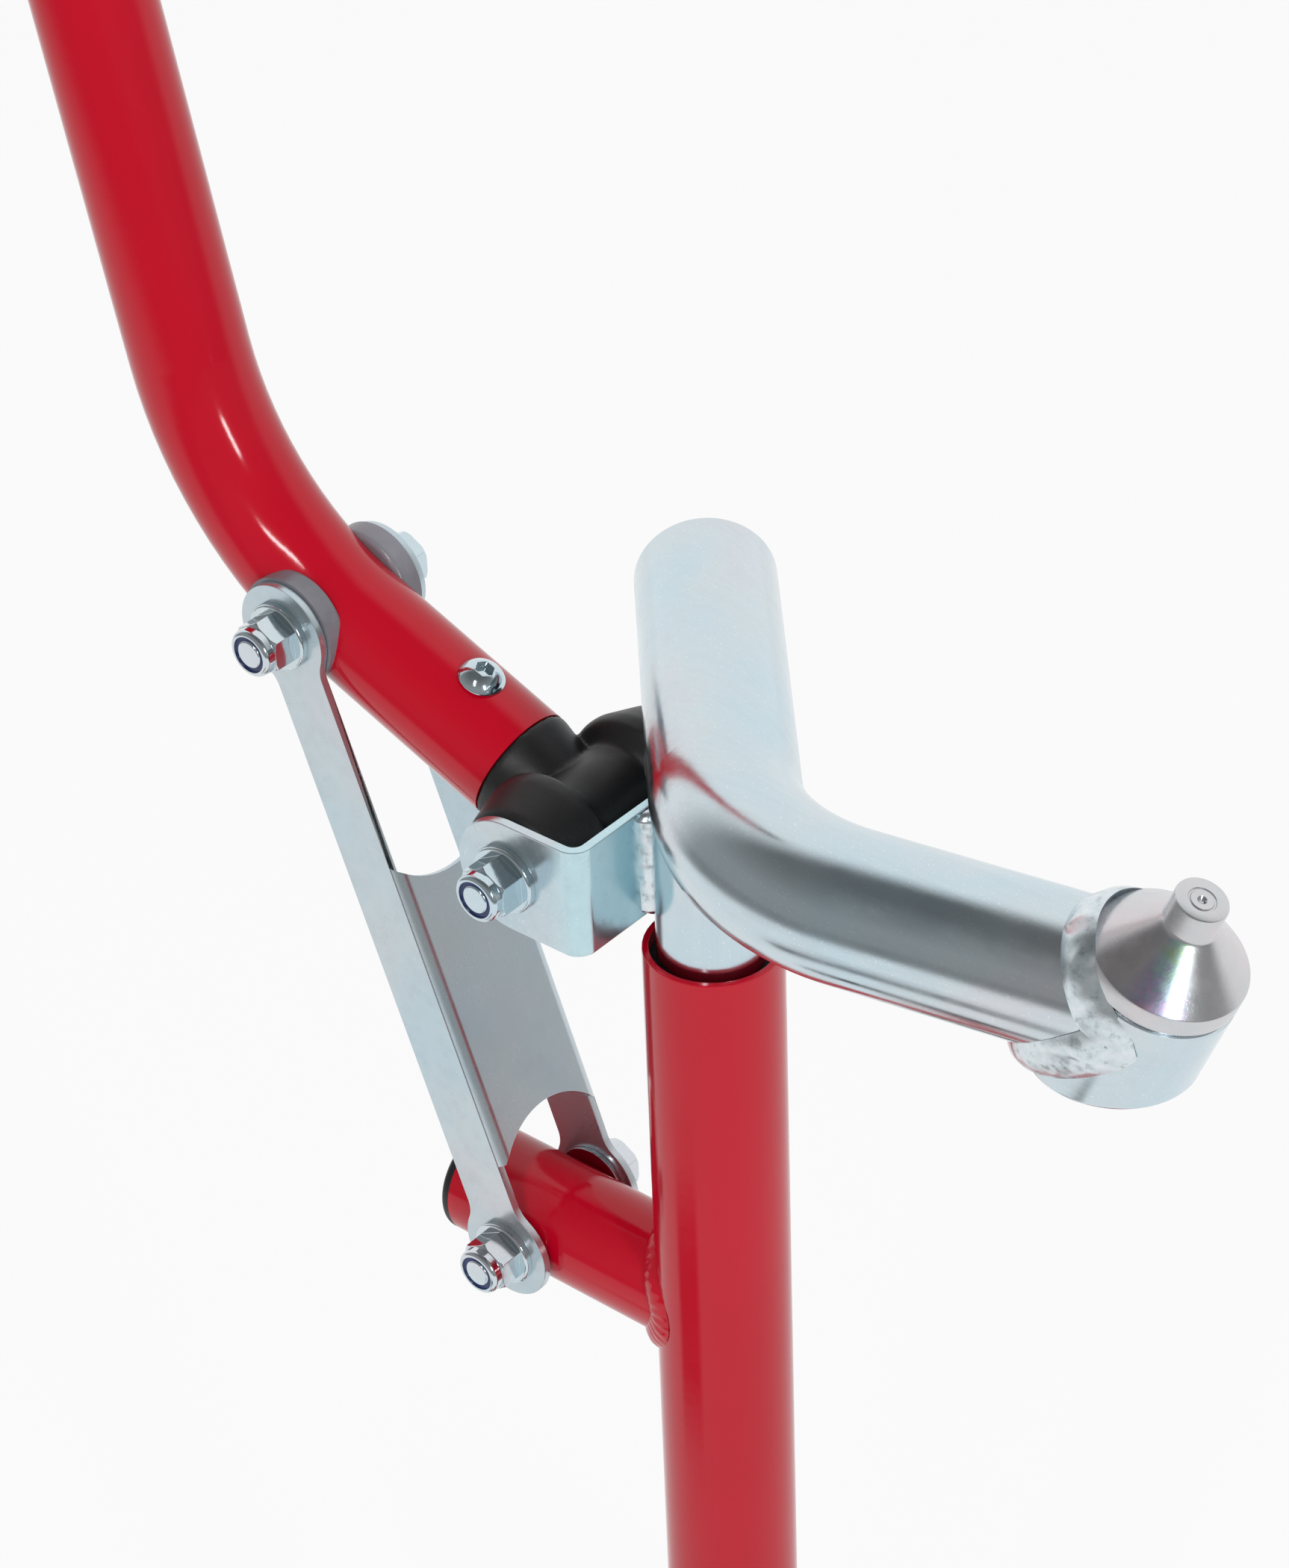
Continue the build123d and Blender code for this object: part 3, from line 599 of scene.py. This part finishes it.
def lathe(profile, origin, axis):
    """Turn (radius, height) points, in millimetres, about an axis."""
    count = 160
    shape = bmesh.new()
    round_axis = spokes(axis, count)
    loops = []
    for radius, height in profile:
        centre = origin + axis * (height / 1000)
        outs = round_axis if radius else [ORIGIN]
        loops.append([shape.verts.new(centre + out * (radius / 1000)) for out in outs])
    for low, high in zip(loops, loops[1:]):
        for index in range(count):
            corners = [low[index - 1], low[index]] if len(low) > 1 else [low[0]]
            corners += [high[index], high[index - 1]] if len(high) > 1 else [high[0]]
            shape.faces.new(corners)
    bmesh.ops.recalc_face_normals(shape, faces=shape.faces)
    return shape


pin_shape = lathe(PIN_PROFILE, BOSS_TOP, BOSS_UP)
pin = finish_piece("lift_pin.turned", pin_shape, "lift_head", ZINC_PIN, sharp=28.0)
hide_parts("lift_pin")


def moulded(node, voxel, rounds):
    """The node as one moulding, with its inner corners blended."""
    look = NODES[node].data.materials[0]
    shape = node_shape(node)
    piece = finish_piece(node + ".moulded", shape, BODY_OF[node], look, sharp=180.0)
    blocks = piece.modifiers.new("skin", "REMESH")
    blocks.mode = "VOXEL"
    blocks.voxel_size = voxel
    blocks.use_smooth_shade = True
    blend = piece.modifiers.new("blend", "SMOOTH")
    blend.iterations = rounds
    blend.factor = 0.5
    settled = bpy.data.meshes.new_from_object(piece.evaluated_get(bpy.context.evaluated_depsgraph_get()))
    piece.modifiers.clear()
    piece.data = settled
    settled.shade_smooth()
    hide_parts(node)


moulded("pivot_plug", voxel=0.0007, rounds=10)

WALL = 0.034
SHOULDER = 0.014
RIB = 0.0075
GROOVE_HALF = 0.0011
GROOVE_DEPTH = 0.0022
CUT_DEPTH = 0.0026
TREAD_BAND = 0.010
TREAD_FADE = 0.004
TYRE_STEPS = 288
CUT_EVERY = 12
CUT_STEPS = 3


def tyre_section(outer, half):
    """Points (radius, place along the axle) round a tyre's section."""
    inner = outer - WALL
    wall_top = outer - SHOULDER
    edge = [(inner, -half)]
    edge += [(inner + (wall_top - inner) * step / 6, -half) for step in range(1, 6)]
    for step in range(13):
        angle = math.pi / 2 * step / 12
        edge.append((wall_top + SHOULDER * math.sin(angle), -half + SHOULDER - SHOULDER * math.cos(angle)))
    flat = half - SHOULDER
    crown = [(outer, -flat + 2 * flat * step / 20) for step in range(1, 20)]
    return edge + crown + [(radius, -along) for radius, along in reversed(edge)]


def tread_depth(index, radius, along, outer):
    """How deep the ribs' grooves and the cross cuts are at one point."""
    tread = min(1.0, max(0.0, (radius - outer + TREAD_BAND) / TREAD_FADE))
    shift = 0 if along > 0 else CUT_EVERY // 2
    if abs(along) > RIB and (index + shift) % CUT_EVERY < CUT_STEPS:
        return CUT_DEPTH * tread
    if min(abs(along), abs(abs(along) - RIB)) < GROOVE_HALF:
        return GROOVE_DEPTH * tread
    return 0.0


def tyre(node):
    """A tyre with ribs, cross cuts and a plain side wall, on a section sized from the node's box."""
    low, high = (Vector(corner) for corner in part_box(node))
    centre = (low + high) / 2
    outer = (high.z - low.z) / 2
    section = tyre_section(outer, (high.y - low.y) / 2)
    shape = bmesh.new()
    loops = []
    for index in range(TYRE_STEPS):
        angle = 2 * math.pi * index / TYRE_STEPS
        loop = []
        for radius, along in section:
            reach = radius - tread_depth(index, radius, along, outer)
            spot = Vector((math.cos(angle) * reach, along, math.sin(angle) * reach))
            loop.append(shape.verts.new(centre + spot))
        loops.append(loop)
    for index in range(TYRE_STEPS):
        here, there = loops[index - 1], loops[index]
        for spot in range(len(section)):
            shape.faces.new((here[spot - 1], here[spot], there[spot], there[spot - 1]))
    bmesh.ops.recalc_face_normals(shape, faces=shape.faces)
    piece = finish_piece(node + ".tread", shape, BODY_OF[node], TYRE, sharp=40.0)
    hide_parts(node)


tyre("tyre_left")
tyre("tyre_right")

# Floor and room

WHITE = grey(1.0)
FLOOR_HALF = 9
NEAR_SIDE = (0.446, -0.895, 0)
NEAR_EDGE = (-0.40, -0.02)
PATCH_SIDE = (-0.375, -0.927, 0)
PATCH_EDGE = (0.92, 0.975)


def pale_floor():
    """A matt floor whose mirror image is dim far off on the viewer's side and in a patch by the post."""
    material = bpy.data.materials.new("pale_floor")
    material.use_nodes = True
    t = Tree(material.node_tree)
    matt = t.nodes["Principled BSDF"]
    matt.inputs["Base Color"].default_value = grey(0.82)
    matt.inputs["Roughness"].default_value = 0.9
    path = t.add("LightPath").outputs
    spot = t.add("TexCoord").outputs["Object"]
    away = t.add("VectorMath", "NORMALIZE", Vector=spot).outputs["Vector"]
    distance = t.add("VectorMath", "LENGTH", Vector=spot).outputs["Value"]
    beyond = t.math("MULTIPLY", t.step(t.dot(away, NEAR_SIDE), *NEAR_EDGE), t.step(distance, 1.9, 3.0))
    patch = t.math("MULTIPLY", t.step(distance, 0.55, 0.63), t.step(distance, 0.80, 0.71))
    patch = t.math("MULTIPLY", patch, t.step(t.dot(away, PATCH_SIDE), *PATCH_EDGE))
    shade = t.math("MAXIMUM", patch, t.math("MULTIPLY", beyond, 0.85))
    shade = t.math("MULTIPLY", shade, path["Is Glossy Ray"])
    glow = t.add("Emission", Color=t.mix(shade, WHITE, grey(0.10)))
    seen = t.math("MAXIMUM", path["Is Camera Ray"], path["Is Glossy Ray"])
    blend = t.add("MixShader", Fac=t.math("MULTIPLY", seen, 0.90))
    t.feed(blend.inputs[1], matt.outputs["BSDF"])
    t.feed(blend.inputs[2], glow.outputs["Emission"])
    t.feed(t.nodes["Material Output"].inputs["Surface"], blend.outputs["Shader"])
    return material


def studio():
    """A pale room whose mirror image is dim on the viewer's side, darkest overhead."""
    world = bpy.data.worlds.new("studio")
    world.use_nodes = True
    t = Tree(world.node_tree)
    path = t.add("LightPath").outputs
    way = t.add("TexCoord").outputs["Generated"]
    rise = t.add("SeparateXYZ", Vector=way).outputs["Z"]
    dim = t.ramp(rise, (0.30, grey(0.34)), (0.85, grey(0.15)))
    mirrored = t.mix(t.step(t.dot(way, NEAR_SIDE), *NEAR_EDGE), WHITE, dim)
    lit = t.mix(path["Is Glossy Ray"], grey(0.60), mirrored)
    t.feed(t.nodes["Background"].inputs["Color"], t.mix(path["Is Camera Ray"], lit, grey(0.965)))
    return world


floor_mesh = bpy.data.meshes.new("floor")
floor_corners = [(x * FLOOR_HALF, y * FLOOR_HALF, 0) for x, y in ((-1, -1), (1, -1), (1, 1), (-1, 1))]
floor_mesh.from_pydata(floor_corners, [], [(0, 1, 2, 3)])
floor_mesh.materials.append(pale_floor())
floor = bpy.data.objects.new("floor", floor_mesh)
SCENE.collection.objects.link(floor)
SCENE.world = studio()

# Lamps

TARGET = Vector((-0.03, 0.0, 0.72))
LAMP_DISTANCE = 2.2
SHEETS = ("link_channel.eased", "pivot_bracket.eased")
TURNED = ("lift_pin.turned", "pivot_nut.eased", "link_nuts.eased")


def softbox(name, turn, rise, size, watts):
    """A rectangular lamp that faces the object."""
    lamp = bpy.data.lights.new(name, "AREA")
    lamp.shape = "RECTANGLE"
    lamp.size, lamp.size_y = size
    lamp.energy = watts
    box = bpy.data.objects.new(name, lamp)
    tilt = math.radians(rise)
    away = level(turn) * math.cos(tilt) + UP * math.sin(tilt)
    box.location = TARGET + away * LAMP_DISTANCE
    box.rotation_euler = (-away).to_track_quat("-Z", "Y").to_euler()
    SCENE.collection.objects.link(box)
    return box


def keep_off(lamp, names):
    """Flag a lamp off some pieces, as a card beside it would."""
    group = bpy.data.collections.new(lamp.name + "_flagged")
    for name in names:
        group.objects.link(SCENE.objects[name])
    lamp.light_linking.receiver_collection = group
    for member in group.collection_objects:
        member.light_linking.link_state = "EXCLUDE"


keep_off(softbox("key_left", turn=-70, rise=41, size=(0.12, 0.75), watts=10), SHEETS + TURNED)
keep_off(softbox("key_right", turn=-23, rise=21, size=(0.20, 0.55), watts=10), SHEETS)

# Camera

EYE_AT = (0.58520, -0.70010, 1.38044)
EYE_TURN = (55.5116, 1.9524, 39.6358)

camera = bpy.data.cameras.new("camera")
camera.sensor_fit = "VERTICAL"
camera.sensor_height = 36.0
camera.lens = 94.286
eye = bpy.data.objects.new("camera", camera)
turn = Euler([math.radians(angle) for angle in EYE_TURN]).to_matrix().to_4x4()
eye.matrix_world = Matrix.Translation(EYE_AT) @ turn
SCENE.collection.objects.link(eye)
SCENE.camera = eye
SCENE.view_settings.view_transform = "Standard"
